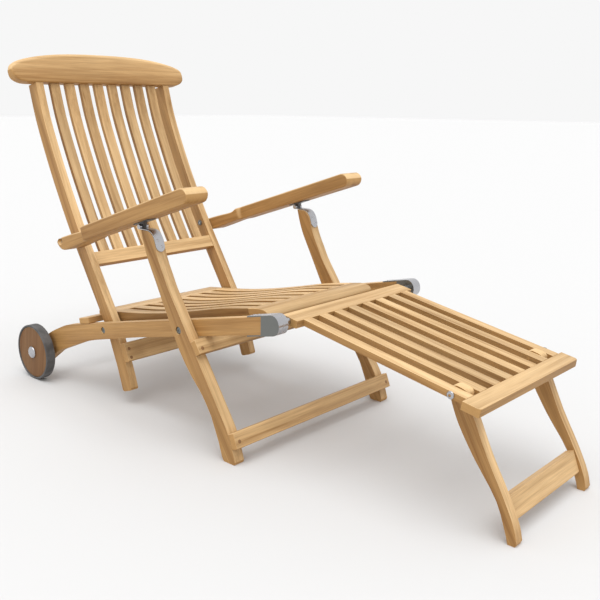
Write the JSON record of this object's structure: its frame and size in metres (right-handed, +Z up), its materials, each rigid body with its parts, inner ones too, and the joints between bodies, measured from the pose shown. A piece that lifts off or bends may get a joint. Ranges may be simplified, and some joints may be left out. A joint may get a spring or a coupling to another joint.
{
  "type": "steamer deck chair",
  "caption": "Wheeled slatted wooden lounger whose back, arms and front legs fold flat as one linkage, with a hinged leg rest on a folding prop.",
  "frame": {"origin": "on the ground under the middle of the whole length, in the middle plane", "axes": "+X toward the sitter's feet, +Y toward the sitter's left, +Z up"},
  "size_m": [1.5538, 0.626, 0.9371],
  "materials": {
    "frame_wood": "oiled, satin",
    "side_wood": "oiled, satin",
    "pale_wood": "oiled, satin",
    "wheel_wood": "oiled, satin",
    "bright_steel": "polished",
    "bracket_steel": "brushed",
    "dark_steel": "dull",
    "tyre_rubber": "matte"
  },
  "bodies": {
    "chassis": {"back_pivot_rod": "bright_steel", "front_leg_pivot_rod": "bright_steel", "rail_bracket_left": "bracket_steel", "rail_bracket_right": "bracket_steel", "rear_cross_slat": "pale_wood", "seat_front_board": "pale_wood", "seat_rear_board": "pale_wood", "seat_side_board_left": "side_wood", "seat_side_board_right": "side_wood", "seat_slat_1": "pale_wood", "seat_slat_2": "pale_wood", "seat_slat_3": "pale_wood", "seat_slat_4": "pale_wood", "seat_slat_5": "pale_wood", "seat_slat_6": "pale_wood", "side_rail_left": "side_wood", "side_rail_right": "side_wood", "wheel_axle": "bright_steel"},
    "back": {"arm_bolt_left": "bright_steel", "arm_bolt_right": "bright_steel", "back_head_rail": "side_wood", "back_lower_rail": "frame_wood", "back_slat_1": "frame_wood", "back_slat_2": "frame_wood", "back_slat_3": "frame_wood", "back_slat_4": "frame_wood", "back_slat_5": "frame_wood", "back_slat_6": "frame_wood", "back_slat_7": "frame_wood", "back_slat_8": "frame_wood", "back_stile_left": "frame_wood", "back_stile_right": "frame_wood", "rear_leg_slat": "frame_wood"},
    "arm_right": {"arm_right": "frame_wood", "arm_hinge_leaf_right": "dark_steel"},
    "arm_left": {"arm_left": "frame_wood", "arm_hinge_leaf_left": "dark_steel"},
    "front_legs": {"front_leg_left": "frame_wood", "front_leg_right": "frame_wood", "front_leg_bar_upper": "frame_wood", "front_leg_bar_lower": "frame_wood", "leg_hinge_strap_left": "bracket_steel", "leg_hinge_strap_right": "bracket_steel"},
    "leg_rest": {"leg_rest_foot_board": "pale_wood", "leg_rest_head_board": "pale_wood", "leg_rest_slat_1": "pale_wood", "leg_rest_slat_2": "pale_wood", "leg_rest_slat_3": "pale_wood", "leg_rest_slat_4": "pale_wood", "leg_rest_slat_5": "pale_wood", "leg_rest_slat_6": "pale_wood", "leg_rest_slat_7": "pale_wood", "leg_rest_slat_8": "pale_wood"},
    "prop_legs": {"prop_leg_board": "side_wood", "prop_leg_left": "side_wood", "prop_leg_right": "side_wood"},
    "wheel_right": {"wheel_disc_right": "wheel_wood", "wheel_tyre_right": "tyre_rubber"},
    "wheel_left": {"wheel_disc_left": "wheel_wood", "wheel_tyre_left": "tyre_rubber"}
  },
  "joints": [
    {"name": "back_fold", "type": "hinge", "parent": "chassis", "child": "back", "pos_m": [-0.38789, 0, 0.20158], "axis": [0, 1, 0], "range_deg": [0, 91]},
    {"name": "front_legs_fold", "type": "hinge", "parent": "chassis", "child": "front_legs", "pos_m": [-0.03529, 0, 0.27929], "axis": [0, 1, 0], "range_deg": [0, 91]},
    {"name": "arm_right_fold", "type": "hinge", "parent": "back", "child": "arm_right", "pos_m": [-0.52989, -0.25175, 0.43058], "axis": [0, 1, 0], "range_deg": [-91, 0]},
    {"name": "arm_left_fold", "type": "hinge", "parent": "back", "child": "arm_left", "pos_m": [-0.52989, 0.25175, 0.43058], "axis": [0, 1, 0], "range_deg": [-91, 0]},
    {"name": "leg_rest_hinge", "type": "hinge", "parent": "chassis", "child": "leg_rest", "pos_m": [0.24316, 0, 0.3417], "axis": [0, 1, 0], "range_deg": [-60, 34]},
    {"name": "prop_leg_hinge", "type": "hinge", "parent": "leg_rest", "child": "prop_legs", "pos_m": [0.63689, 0, 0.27112], "axis": [0, 1, 0], "range_deg": [0, 122]},
    {"name": "wheel_right_spin", "type": "hinge", "parent": "chassis", "child": "wheel_right", "pos_m": [-0.69589, -0.2885, 0.081], "axis": [0, 1, 0], "continuous": true},
    {"name": "wheel_left_spin", "type": "hinge", "parent": "chassis", "child": "wheel_left", "pos_m": [-0.69589, 0.2885, 0.081], "axis": [0, 1, 0], "continuous": true}
  ],
  "couplings": [
    {"joint": "front_legs_fold", "follows": "back_fold", "ratio": 1},
    {"joint": "arm_right_fold", "follows": "back_fold", "ratio": -1},
    {"joint": "arm_left_fold", "follows": "back_fold", "ratio": -1}
  ]
}
